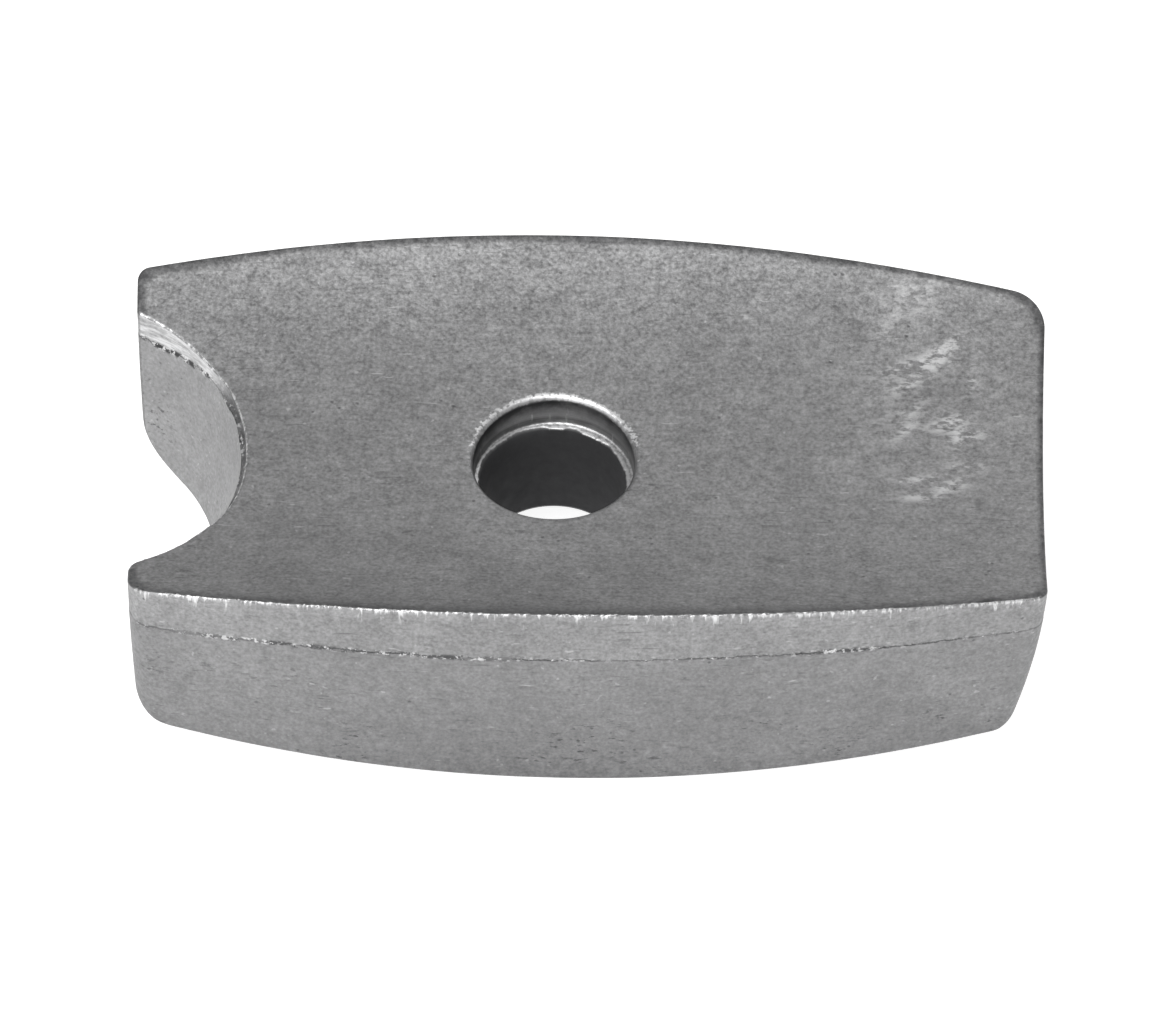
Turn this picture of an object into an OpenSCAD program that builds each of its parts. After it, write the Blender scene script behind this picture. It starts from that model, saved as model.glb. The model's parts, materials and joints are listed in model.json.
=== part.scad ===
// One-piece clamp plate of a wire rope clip.
// It is a forged block with a shallow saddle along its top, barrel-shaped long sides,
// a crowned underside, a half-round notch in one end and one stepped bolt hole.
// X runs along the plate towards the plain end, Y across it and Z up.
// The origin is on the bolt's axis, level with the underside's lowest line.

/* [Outline seen from above] */
// Distance from the bolt's axis to the notched end
notched_end_l = 38.1; // [36:0.1:43]
// Distance from the bolt's axis to the plain end
plain_end_l = 44.7; // [30:0.1:56]
// Width across the bulged sides, in line with the bolt
body_w = 46.8; // [42:0.1:60]
// Radius of each bulged long side
side_r = 202; // [120:1:400]
// Corner radius at the notched end, on the front side
notched_front_corner_r = 2.7; // [0.5:0.1:4]
// Corner radius at the notched end, on the back side
notched_back_corner_r = 1.3; // [0.5:0.1:4]
// Corner radius at the plain end, on the front side
plain_front_corner_r = 1.8; // [0.5:0.1:5]
// Corner radius at the plain end, on the back side
plain_back_corner_r = 3.8; // [0.5:0.1:5]

/* [Outline seen from the side] */
// Height of the saddle's lowest line above the underside
web_h = 16.9; // [13:0.1:24]
// Drop of the forging's parting line below the saddle's lowest line
parting_drop = 0.8; // [0.2:0.1:2]
// Radius of the crowned underside
crown_r = 235; // [150:1:600]
// Radius to which the plain end's face bows out
plain_face_r = 75; // [50:1:400]
// Radius to which the notched end's face bows out
notched_face_r = 350; // [50:1:600]
// Angle by which the notched end's face is out of square, so that its back horn is the longer one
notched_face_skew = 1; // [0:0.5:3]
// Rounding where the plain end's face meets the underside
plain_heel_r = 3.2; // [1:0.1:5]
// Rounding where the notched end's face meets the underside
notched_heel_r = 5; // [1:0.1:7]

/* [Saddle] */
// Radius of the saddle along the top
saddle_r = 55.3; // [40:0.1:120]

/* [Notch] */
// Distance from the bolt's axis to the notch's centre
notch_centre_l = 44.8; // [40:0.1:56]
// Radius of the notch above the parting line
notch_r = 16.7; // [12:0.1:18]
// Angle by which the notch's wall closes in below the parting line
notch_lean = 11.5; // [0:0.5:15]

/* [Bolt hole] */
// Diameter of the bolt's clearance bore
bore_d = 13; // [8:0.1:20]
// How much wider the seat at the top of the bore is, on each side
seat_step = 1; // [0.2:0.1:4]
// Depth of the seat below the saddle's lowest line
seat_depth = 2.8; // [1:0.1:5]
// Depth of the countersink at the underside
countersink_depth = 3.7; // [0.5:0.1:5]
// Angle between the countersink's wall and the bolt's axis
countersink_angle = 45; // [15:5:60]

/* [Hidden] */
$fn = 720;
over = 1; // how far each cutter runs past what it cuts
half_w = body_w / 2;
parting_h = web_h - parting_drop;
body_h = web_h + saddle_r - sqrt(saddle_r * saddle_r - half_w * half_w);
upright_h = body_h + 2 * over; // height at which both end faces would stand upright
horn_lead = half_w * tan(notched_face_skew); // how much longer the back horn is than the middle of its face
// Inset of a round's centre over its radius: below 1, so that it crosses its faces and never just touches
round_bite = 0.99;
forged_steel = [0.52, 0.52, 0.53];

// Centres of the arcs that bound the plate
back_side_centre = [0, half_w - side_r];
mid_x = (plain_end_l - notched_end_l) / 2;
crown_centre = [mid_x, crown_r];
function face_centre(end_l, face_r) = [end_l - face_r, upright_h];

// Where two circles meet, to the left of the line from the first centre to the second
function meet(centre_a, r_a, centre_b, r_b) =
    let (
        apart = norm(centre_b - centre_a),
        along = (r_a * r_a - r_b * r_b + apart * apart) / (2 * apart),
        aside = sqrt(r_a * r_a - along * along),
        u = (centre_b - centre_a) / apart
    )
    centre_a + along * u + aside * [-u.y, u.x];

// Where a small arc centred at c touches, from inside, a circle around centre_a
function touch(c, r, centre_a, r_a) = centre_a + (c - centre_a) * r_a / (r_a - r);

// What a corner round takes off where the back side meets the end at +end_l
module corner_waste(end_l, r) {
    inset = r * round_bite;
    c_x = end_l - inset;
    c_y = back_side_centre.y + sqrt(pow(side_r - inset, 2) - c_x * c_x);
    on_side = touch([c_x, c_y], inset, back_side_centre, side_r);
    outside_x = end_l + over;
    outside_y = on_side.y + over;
    difference() {
        polygon([
            [c_x, c_y], on_side, [on_side.x, outside_y],
            [outside_x, outside_y], [outside_x, c_y]
        ]);
        translate([c_x, c_y]) circle(r = r);
    }
}

// What a heel round takes off where the underside meets the face at +end_l
module heel_waste(end_l, face_r, r, crown_c) {
    inset = r * round_bite;
    face_c = face_centre(end_l, face_r);
    c = meet(crown_c, crown_r - inset, face_c, face_r - inset);
    on_face = touch(c, inset, face_c, face_r);
    on_crown = touch(c, inset, crown_c, crown_r);
    difference() {
        polygon([
            c, on_crown, [on_crown.x, -over],
            [end_l + over, -over], [end_l + over, on_face.y], on_face
        ]);
        translate(c) circle(r = r);
    }
}

// A round bar across the plate, centred over c in the outline seen from the side
module cross_bar(c, r) {
    translate([c.x, 0, c.y])
        rotate([90, 0, 0])
            cylinder(r = r, h = 2 * body_w, center = true);
}

// The upright drum whose skin is the back side
module side_drum() {
    translate([0, back_side_centre.y, -over])
        cylinder(r = side_r, h = body_h + 2 * over);
}

// The block between its bulged sides, bowed end faces and crowned underside
module blank() {
    intersection() {
        side_drum();
        mirror([0, 1, 0]) side_drum();
        cross_bar(crown_centre, crown_r);
        cross_bar(face_centre(plain_end_l, plain_face_r), plain_face_r);
        translate([-notched_end_l, 0, 0])
            rotate([0, 0, notched_face_skew])
                cross_bar([notched_face_r, upright_h], notched_face_r);
    }
}

// The upright rounds at the four corners
module corner_rounds() {
    translate([0, 0, -2 * over])
        linear_extrude(body_h + 4 * over) {
            corner_waste(plain_end_l, plain_back_corner_r);
            mirror([0, 1]) corner_waste(plain_end_l, plain_front_corner_r);
            mirror([1, 0]) corner_waste(notched_end_l + horn_lead, notched_back_corner_r);
            mirror([1, 0]) mirror([0, 1]) corner_waste(notched_end_l - horn_lead, notched_front_corner_r);
        }
}

// The rounds across the plate where the end faces meet the underside
module heel_rounds() {
    rotate([90, 0, 0])
        linear_extrude(2 * body_w, center = true) {
            heel_waste(plain_end_l, plain_face_r, plain_heel_r, crown_centre);
            mirror([1, 0])
                heel_waste(notched_end_l, notched_face_r, notched_heel_r, [-mid_x, crown_r]);
        }
}

// The saddle, a shallow trough from end to end
module saddle() {
    translate([-notched_end_l - over, 0, web_h + saddle_r])
        rotate([0, 90, 0])
            cylinder(r = saddle_r, h = notched_end_l + plain_end_l + 2 * over);
}

// The half-round notch, upright above the parting line and closing in below it
module notch() {
    lower_h = parting_h + over;
    translate([-notch_centre_l, 0, -over])
        cylinder(r1 = notch_r - lower_h * tan(notch_lean), r2 = notch_r, h = lower_h);
    translate([-notch_centre_l, 0, parting_h])
        cylinder(r = notch_r, h = body_h - parting_h + 2 * over);
}

// The bolt hole, with a seat at its top and a countersink at its foot
module bolt_hole() {
    flare = tan(countersink_angle);
    translate([0, 0, -over])
        cylinder(r = bore_d / 2, h = body_h + 2 * over);
    translate([0, 0, web_h - seat_depth])
        cylinder(r = bore_d / 2 + seat_step, h = body_h);
    translate([0, 0, -over])
        cylinder(
            r1 = bore_d / 2 + (countersink_depth + over) * flare,
            r2 = bore_d / 2,
            h = countersink_depth + over
        );
}

module clamp_plate() {
    color(forged_steel)
        difference() {
            blank();
            corner_rounds();
            heel_rounds();
            saddle();
            notch();
            bolt_hole();
        }
}

clamp_plate();
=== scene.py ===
"""Looks of the wire rope clip's clamp plate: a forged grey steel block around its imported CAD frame."""

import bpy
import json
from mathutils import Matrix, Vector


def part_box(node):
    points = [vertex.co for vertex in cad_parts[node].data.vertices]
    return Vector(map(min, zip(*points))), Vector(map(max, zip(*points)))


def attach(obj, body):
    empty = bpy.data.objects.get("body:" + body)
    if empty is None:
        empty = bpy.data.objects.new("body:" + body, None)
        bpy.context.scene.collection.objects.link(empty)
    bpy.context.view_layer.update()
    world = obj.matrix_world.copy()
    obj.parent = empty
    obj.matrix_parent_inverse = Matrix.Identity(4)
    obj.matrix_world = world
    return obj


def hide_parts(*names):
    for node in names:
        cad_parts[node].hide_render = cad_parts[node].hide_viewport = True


bl_info = {
    "name": "Rope clip plate",
    "version": (1, 0, 0),
    "blender": (4, 5, 0),
    "location": "3D View > Sidebar > Rope clip",
    "description": "Forges the clamp plate of a wire rope clip, with its burrs, parting line and studio",
    "category": "Object",
}

import json
import math

import bpy
import numpy as np
from bpy.props import FloatProperty, FloatVectorProperty, IntProperty, PointerProperty
from mathutils import Matrix, Vector

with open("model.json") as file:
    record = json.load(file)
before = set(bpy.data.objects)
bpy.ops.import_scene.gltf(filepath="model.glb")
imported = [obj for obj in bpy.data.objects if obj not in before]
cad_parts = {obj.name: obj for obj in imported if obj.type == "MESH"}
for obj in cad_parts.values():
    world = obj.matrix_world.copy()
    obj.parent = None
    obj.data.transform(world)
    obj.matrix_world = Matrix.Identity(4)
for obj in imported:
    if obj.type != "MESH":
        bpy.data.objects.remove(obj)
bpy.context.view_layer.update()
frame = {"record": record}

MM = 0.001
NODE = "clamp_plate"
BODY = "root"
LOW, HIGH = (np.array(corner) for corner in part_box(NODE))
MOUNTS = {m["name"]: m for m in frame["record"]["mounts"]}
BORE = MOUNTS["bolt_bore"]
BORE_R = BORE["dims"]["r_mm"] * MM
BORE_HALF_L = BORE["dims"]["length_mm"] * MM / 2
SEAT_Z = BORE["pos_m"][2] + BORE_HALF_L
SINK_Z = BORE["pos_m"][2] - BORE_HALF_L
SADDLE_Z = MOUNTS["saddle"]["pos_m"][2]
NOTCH_FLOOR_X = MOUNTS["end_notch"]["pos_m"][0]
PARTING_Z = MOUNTS["end_notch"]["pos_m"][2]


def length(name, default_mm, text):
    """A size that a user may change, shown in the scene's units."""
    default = default_mm * MM
    return FloatProperty(name=name, description=text, default=default, min=0.0, unit="LENGTH", precision=5)


def tilt(name, default_degrees, text):
    """An angle that a user may change."""
    return FloatProperty(name=name, description=text, default=math.radians(default_degrees), subtype="ANGLE")


def tint(name, default, text):
    """A colour that a user may change."""
    return FloatVectorProperty(name=name, description=text, default=default, subtype="COLOR", min=0, max=1)


class PlateSizes(bpy.types.PropertyGroup):
    """Sizes of the forged plate that its box and mounts don't already give"""

    side_r: length("Side radius", 202, "Radius of each bulged long side")
    crown_r: length("Crown radius", 235, "Radius of the crowned underside")
    plain_face_r: length("Plain face radius", 75, "Bow of the plain end's face")
    notched_face_r: length("Notched face radius", 350, "Bow of the notched end's face")
    plain_heel_r: length("Plain heel", 2.9, "Round under the plain end's face")
    notched_heel_r: length("Notched heel", 4.5, "Round under the notched end's face")
    plain_front_r: length("Plain front corner", 1.8, "Radius at the plain end, front side")
    plain_back_r: length("Plain back corner", 3.8, "Radius at the plain end, back side")
    notched_front_r: length("Notched front corner", 2.7, "Radius at the notched end, front side")
    notched_back_r: length("Notched back corner", 1.3, "Radius at the notched end, back side")
    front_tip_r: length("Front horn tip", 1.9, "Round of the front horn's tip")
    back_tip_r: length("Back horn tip", 0.5, "Round of the back horn's tip")
    notch_r: length("Notch radius", 16.7, "Radius of the notch above the parting line")
    seat_step: length("Seat step", 0.78, "Width of the seat around the bore")
    top_edge_r: length("Top edge round", 0.24, "Round of the top edge, back and ends")
    front_edge_r: length("Front edge round", 0.22, "Round of the top edge, front and notch")
    bottom_edge_r: length("Bottom edge round", 0.3, "Round of the bottom edge, sides")
    heel_edge_r: length("Heel edge round", 0.18, "Round of the bottom edge, ends and notch")
    flash_h: length("Flash height", 0.04, "How far the flash stands out")
    notch_trim: length("Notch trim", 0.3, "How far the notch's top edge stands back")
    swell: length("Surface swell", 0.04, "Depth of the slow waves in the forged skin")
    notch_lean: tilt("Notch lean", 11.5, "How the notch closes in below the parting line")
    face_skew: tilt("Notched face skew", 1, "How the notched end's face is out of square")
    countersink_angle: tilt("Countersink angle", 45, "Angle from the bolt's axis to the countersink's wall")
    columns: IntProperty(name="Columns", description="Points round the plate", default=690, min=200, max=690)
    seed: IntProperty(name="Seed", description="Seed of every random pattern", default=7, min=0)


class PlateColours(bpy.types.PropertyGroup):
    """Colours of the plate and its studio"""

    skin: tint("Forged skin", (0.25, 0.25, 0.252), "Colour of the dull forged skin")
    # also paints highlights: painted light on lit edges and on the notch's wall
    bright: tint("Bright steel", (0.72, 0.72, 0.725), "Colour of freshly sheared or rubbed steel")
    # also paints shade: painted shade along edges, under the plate, in the notch, in the parting line and
    # down the bore
    grime_and_shade: tint("Grime", (0.055, 0.055, 0.057), "Colour of pits and oily stains")
    floor: tint("Floor", (0.5, 0.5, 0.5), "Colour of the studio floor")


# ---------------- noise for the mesh


class Waves:
    """Smooth seeded noise in space, between -1 and 1, for many points at once."""

    OCTAVE_SHIFT = 17.3
    OCTAVE_RATIO = 2.03

    def __init__(self, seed):
        rng = np.random.default_rng(seed)
        self.order = np.concatenate([rng.permutation(256)] * 3)
        self.values = rng.uniform(-1.0, 1.0, 256)

    def _corner(self, i, j, k):
        i, j, k = i & 255, j & 255, k & 255
        return self.values[self.order[self.order[self.order[i] + j] + k]]

    def single(self, p):
        cell = np.floor(p).astype(int)
        f = p - cell
        f = f * f * f * (f * (f * 6 - 15) + 10)
        x, y, z = cell.T
        u, v, w = f.T
        total = 0.0
        for a, b, c in np.ndindex(2, 2, 2):
            share = (u if a else 1 - u) * (v if b else 1 - v) * (w if c else 1 - w)
            total = total + share * self._corner(x + a, y + b, z + c)
        return total

    def layered(self, p, size, octaves=3):
        """Noise whose largest features are about size across."""
        total, weight, reach = 0.0, 1.0, 0.0
        q = p / size
        for octave in range(octaves):
            total = total + weight * self.single(q + self.OCTAVE_SHIFT * octave)
            reach += weight
            weight *= 0.5
            q = q * self.OCTAVE_RATIO
        return total / reach


# ---------------- the plate's outline and surfaces


def circle_face(end_l, radius, upright_z, z):
    """How far out a bowed end face is at height z."""
    return end_l - radius + np.sqrt(radius**2 - (z - upright_z) ** 2)


def on_line_and_circle(normal, offset, centre, radius, sign):
    """Where the line normal.p = offset meets a circle, on the sign side of the line's foot."""
    along = np.array([-normal[1], normal[0]])
    out = offset - centre @ normal
    reach = np.sqrt(radius**2 - out**2)
    return centre + out[:, None] * normal + sign * reach[:, None] * along


def scaled_from(centre, p, ratio):
    return centre + (p - centre) * np.reshape(ratio, (-1, 1))


class Plate:
    """The plate's outline at any height and its top and bottom skins, in metres."""

    def __init__(self, s):
        self.s = s
        self.half_w = HIGH[1]
        self.top_z = HIGH[2]
        self.upright_z = self.top_z + 2 * MM
        self.plain_l = HIGH[0]
        self.skew = np.array([-math.cos(s.face_skew), -math.sin(s.face_skew)])
        horn_lead = self.half_w * math.tan(s.face_skew)
        self.notched_l = -LOW[0] - 0.85 * horn_lead
        sagitta = self.top_z - SADDLE_Z
        self.saddle_r = (sagitta**2 + self.half_w**2) / (2 * sagitta)
        self.mid_x = (self.plain_l - self.notched_l) / 2
        self.notch_c = np.array([NOTCH_FLOOR_X - s.notch_r, 0.0])
        self.side_c = np.array([0.0, self.half_w - s.side_r])
        self._set_heels()
        self._share_columns()

    def _set_heels(self):
        s = self.s
        self.heels = []
        for end_l, face_r, heel_r, mid in (
            (self.plain_l, s.plain_face_r, s.plain_heel_r, self.mid_x),
            (self.notched_l, s.notched_face_r, s.notched_heel_r, -self.mid_x),
        ):
            a, r_a = np.array([mid, s.crown_r]), s.crown_r - heel_r
            b, r_b = np.array([end_l - face_r, self.upright_z]), face_r - heel_r
            gap = np.linalg.norm(b - a)
            along = (r_a**2 - r_b**2 + gap**2) / (2 * gap)
            u = (b - a) / gap
            centre = a + along * u + math.sqrt(r_a**2 - along**2) * np.array([-u[1], u[0]])
            touch = a + (centre - a) * s.crown_r / r_a
            steepest = (centre[0] - b[0]) / r_b
            self.heels.append((centre, heel_r, touch[0], steepest))

    def saddle_z(self, y):
        return SADDLE_Z + self.saddle_r - np.sqrt(self.saddle_r**2 - y**2)

    def under_z(self, x, y):
        """Height of the underside, with its crown and both heels."""
        z = self.s.crown_r - np.sqrt(self.s.crown_r**2 - (x - self.mid_x) ** 2)
        skewed = -x - np.maximum(y, 0) * math.tan(self.s.face_skew)
        for out, (centre, r, touch_x, steepest) in ((x, self.heels[0]), (skewed, self.heels[1])):
            inside = np.clip((out - centre[0]) / r, 0.0, steepest)
            z = np.where(out > touch_x, centre[1] - r * np.sqrt(1 - inside**2), z)
        return z

    def _share_columns(self):
        """Gives each stretch of the outline its columns, by its length."""
        s, n = self.s, self.s.columns
        back, notch, tail = self.half_w * 0.62, self.half_w * 0.1, self.half_w * 0.75
        # lengths, with more for the small rounds, which need columns of their own
        lengths = [
            ("plain_end", back),
            ("plain_back", 2.0 * s.plain_back_r),
            ("back", self.plain_l + self.notched_l - 6 * MM),
            ("notched_back", 3.0 * s.notched_back_r),
            ("horn_back", notch),
            ("tip_back", 2 * MM),
            ("notch", 2.35 * s.notch_r),
            ("tip_front", 1.6 * s.front_tip_r),
            ("horn_front", notch * 0.6),
            ("notched_front", 2.0 * s.notched_front_r),
            ("front", self.plain_l + self.notched_l - 5 * MM),
            ("plain_front", 2.2 * s.plain_front_r),
            ("plain_end_front", tail),
        ]
        total = sum(share for _, share in lengths)
        self.stretches, start = [], 0
        for name, share in lengths:
            count = max(5, round(n * share / total))
            self.stretches.append((name, start, start + count))
            start += count
        self.n = start

    def outline(self, z):
        """Point and outward direction of every column, each at its own height z."""
        s = self.s
        plain = np.array([1.0, 0.0])
        plain_at = circle_face(self.plain_l, s.plain_face_r, self.upright_z, z)
        notched_at = circle_face(self.notched_l, s.notched_face_r, self.upright_z, z)
        notch_r = s.notch_r - math.tan(s.notch_lean) * np.maximum(PARTING_Z - z, 0.0)
        front_c = self.side_c * [1, -1]

        def corner(normal, at, side_c, r, sign):
            c = on_line_and_circle(normal, at - r, side_c, s.side_r - r, sign)
            return c, scaled_from(side_c, c, s.side_r / (s.side_r - r)), c + r * normal

        def tip(r, sign):
            c = on_line_and_circle(self.skew, notched_at - r, self.notch_c, notch_r + r, sign)
            return c, scaled_from(self.notch_c, c, notch_r / (notch_r + r)), c + r * self.skew

        pb = corner(plain, plain_at, self.side_c, s.plain_back_r, 1)
        nb = corner(self.skew, notched_at, self.side_c, s.notched_back_r, -1)
        nf = corner(self.skew, notched_at, front_c, s.notched_front_r, 1)
        pf = corner(plain, plain_at, front_c, s.plain_front_r, -1)
        tb, tf = tip(s.back_tip_r, -1), tip(s.front_tip_r, 1)
        middle = start_at = np.stack([plain_at, 0 * z], 1)
        # the centre or direction of each stretch, and where it ends and the next one starts
        plan = {
            "plain_end": (plain, pb[2]),
            "plain_back": (pb[0], pb[1]),
            "back": (self.side_c, nb[1]),
            "notched_back": (nb[0], nb[2]),
            "horn_back": (self.skew, tb[2]),
            "tip_back": (tb[0], tb[1]),
            "notch": (self.notch_c, tf[1]),
            "tip_front": (tf[0], tf[2]),
            "horn_front": (self.skew, nf[2]),
            "notched_front": (nf[0], nf[1]),
            "front": (front_c, pf[1]),
            "plain_front": (pf[0], pf[2]),
            "plain_end_front": (plain, middle),
        }
        points, normals = np.empty((self.n, 2)), np.empty((self.n, 2))
        for name, start, stop in self.stretches:
            part = slice(start, stop)
            t = (np.arange(stop - start) / (stop - start))[:, None]
            centre, stop_at = plan[name]
            first, last = start_at[part], stop_at[part]
            start_at = stop_at
            if name.startswith(("plain_end", "horn")):
                points[part] = first + (last - first) * t
                normals[part] = centre
                continue
            centre = centre[part] if np.ndim(centre) == 2 else np.tile(centre, (stop - start, 1))
            a, b = first - centre, last - centre
            angle = np.arctan2(a[:, 1], a[:, 0])
            turn = np.arctan2(b[:, 1], b[:, 0]) - angle
            turn = (turn % math.tau) - (math.tau if name == "notch" else 0.0)
            angle = angle + turn * t[:, 0]
            ray = np.stack([np.cos(angle), np.sin(angle)], 1)
            points[part] = centre + ray * np.linalg.norm(a, axis=1)[:, None]
            normals[part] = -ray if name == "notch" else ray
        return points, normals

    def columns_of(self, *names):
        """True for the columns of these stretches."""
        mask = np.zeros(self.n, bool)
        for name, start, stop in self.stretches:
            mask[start:stop] = name in names
        return mask

    def burred_front(self):
        """True for the columns whose top edge was trimmed: the front side and half of each corner."""
        mask = self.columns_of("front")
        for name, start, stop in self.stretches:
            half = (stop - start) // 2
            if name == "notched_front":
                mask[stop - half : stop] = True
            elif name == "plain_front":
                mask[start : start + half] = True
        return mask

    def trimmed(self, points):
        """How far the notch's top edge stands back from its wall, away from the horns."""
        near = ramp(np.abs(points[:, 1]) / MM, 10, 7)
        return self.s.notch_trim * near * self.columns_of("notch", "tip_front")

    def top_edge(self):
        """Height of every column where the wall meets the saddle."""
        z = np.full(self.n, self.top_z)
        for _ in range(12):
            z = self.saddle_z(self.outline(z)[0][:, 1])
        return z

    def bottom_edge(self):
        """Height of every column where the wall meets the underside."""
        low, high = np.zeros(self.n), np.full(self.n, 12 * MM)
        for _ in range(40):
            z = (low + high) / 2
            points = self.outline(z)[0]
            above = z > self.under_z(points[:, 0], points[:, 1])
            high = np.where(above, z, high)
            low = np.where(above, low, z)
        return (low + high) / 2


def softened(values, reach):
    """Values round the outline, each averaged with its neighbours."""
    kernel = np.hanning(2 * reach + 3)[1:-1]
    padded = np.concatenate([values[-reach:], values, values[:reach]])
    return np.convolve(padded, kernel / kernel.sum(), "valid")


def bell(value, width):
    """1 where value is 0, and falling away on both sides over width."""
    return np.exp(-((value / width) ** 2))


def ramp(value, start, stop):
    """0 up to start, then rising evenly to 1 at stop."""
    return np.clip((value - start) / (stop - start), 0, 1)


# Height in mm that stands for well away from the parting line
FAR = 9.0


class Skin:
    """Rows of points, each row once round the plate, that together close on themselves.

    Marks on the points: wall, seam (height over the parting line in mm), edge (rubbed, and painted
    highlight on lit edges), shade (painted shade, a darkening low on the walls and grimy patches),
    shine (sheared bright, with painted light), rough (torn flash), smooth (the notch's wall), scuff
    (rubbed patch) and deep (in the bore, painted dark as shade).
    """

    MARKS = ("wall", "seam", "edge", "shade", "shine", "rough", "smooth", "scuff", "deep")

    def __init__(self, columns):
        self.columns = columns
        self.rows, self.bored = [], []
        self.marks = {name: [] for name in self.MARKS}

    def add(self, xyz, bored=False, **marks):
        self.rows.append(xyz)
        self.bored.append(bored)
        for name, rows in self.marks.items():
            row = marks.get(name, FAR if name == "seam" else 0.0)
            rows.append(np.broadcast_to(row, (self.columns,)).astype(float))


def xyz_of(points, z):
    return np.column_stack([points, np.broadcast_to(z, len(points))])


# How far the parting line strays, in mm, and how much further it strays in the notch
STRAY, NOTCH_STRAY = 0.12, 0.3
# Rows lie close together this far above and below the parting line
SEAM_BAND = 0.5 * MM
# Fine dents of the blasted skin, and the depth of a rubbed patch
FINE_DENT, SCUFF_DENT = 0.01 * MM, 0.02 * MM
# The bore's torn lip: its round, its deepest tear, its lean towards the notch and its depth
LIP_R, LIP_TEAR, LIP_OFFSET, LIP_DEPTH = 0.1 * MM, 0.3 * MM, 0.2 * MM, 0.6 * MM
# The round of the seat's rim, and the height of the fillet at its foot
RIM_R, FILLET_H = 0.5 * MM, 0.15 * MM
# Where the trimmed flash tore most along the front: middle and half length along X, in mm
TORN_SPOTS = ((-24.0, 9.0), (-9.0, 6.0), (26.0, 3.5))
# Rubbed patches on the saddle: middle X, Y, half length, half width in mm, angle in degrees, strength
SCUFFS = (
    (34.9, 12.7, 2.2, 0.75, 44, 1.3),
    (32.2, 11.2, 2.8, 0.9, 16, 0.75),
    (32.0, 9.4, 2.1, 0.6, 30, 0.8),
    (32.2, 6.4, 1.8, 0.6, 38, 0.6),
    (31.8, 4.4, 1.6, 0.55, 45, 0.7),
    (35.6, 5.1, 1.6, 0.8, 20, 1.1),
    (36.4, 3.6, 0.55, 1.6, 0, 0.9),
    (37.9, 3.9, 1.3, 0.6, 15, 0.8),
    (33.4, -1.6, 2.2, 0.5, 4, 0.8),
    (32.8, -3.9, 1.9, 0.45, 0, 0.7),
    (35.7, -2.5, 1.9, 0.7, 25, 0.9),
    (37.4, 0.2, 1.6, 0.65, 0, 0.7),
    (32.5, 18.4, 2.6, 1.7, 35, 0.55),
    (29.6, 14.6, 1.6, 0.8, 50, 0.45),
    (37.8, 10.0, 0.4, 1.1, 0, 0.8),
    (16.6, 16.0, 1.5, 0.3, -25, 0.9),
    (33.0, 8.0, 11.0, 13.0, 0, 0.2),
)
# Grimy patches on the saddle, in the same form
SMUDGES = (
    (-29.9, 5.2, 0.7, 2.2, -15, 0.5),
    (-25.6, 13.4, 3.2, 1.5, -25, 0.3),
    (27.4, 14.4, 2.8, 1.1, -40, 0.45),
    (35.2, 8.4, 2.6, 1.3, -10, 0.35),
    (30.5, 1.6, 1.4, 0.9, 0, 0.4),
    (38.4, -4.8, 0.2, 2.4, 8, 0.7),
    (21.5, -1.0, 1.6, 2.4, 20, 0.25),
    (13.7, -13.1, 1.1, 0.34, -18, 0.6),
    (19.8, -13.0, 1.2, 0.34, -18, 0.6),
    (10.2, -12.9, 0.8, 0.34, -40, 0.5),
    (39.3, -19.4, 1.2, 0.45, 5, 0.6),
)


def patches_at(p, patches):
    """How strongly these patches mark the saddle at these points."""
    x, y = p[:, 0] / MM, p[:, 1] / MM
    total = np.zeros(len(p))
    for mid_x, mid_y, long, wide, angle, strength in patches:
        c, s = math.cos(math.radians(angle)), math.sin(math.radians(angle))
        along, across = (x - mid_x) * c + (y - mid_y) * s, (y - mid_y) * c - (x - mid_x) * s
        total += strength * np.exp(-((along / long) ** 2) - (across / wide) ** 2)
    return total


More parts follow.
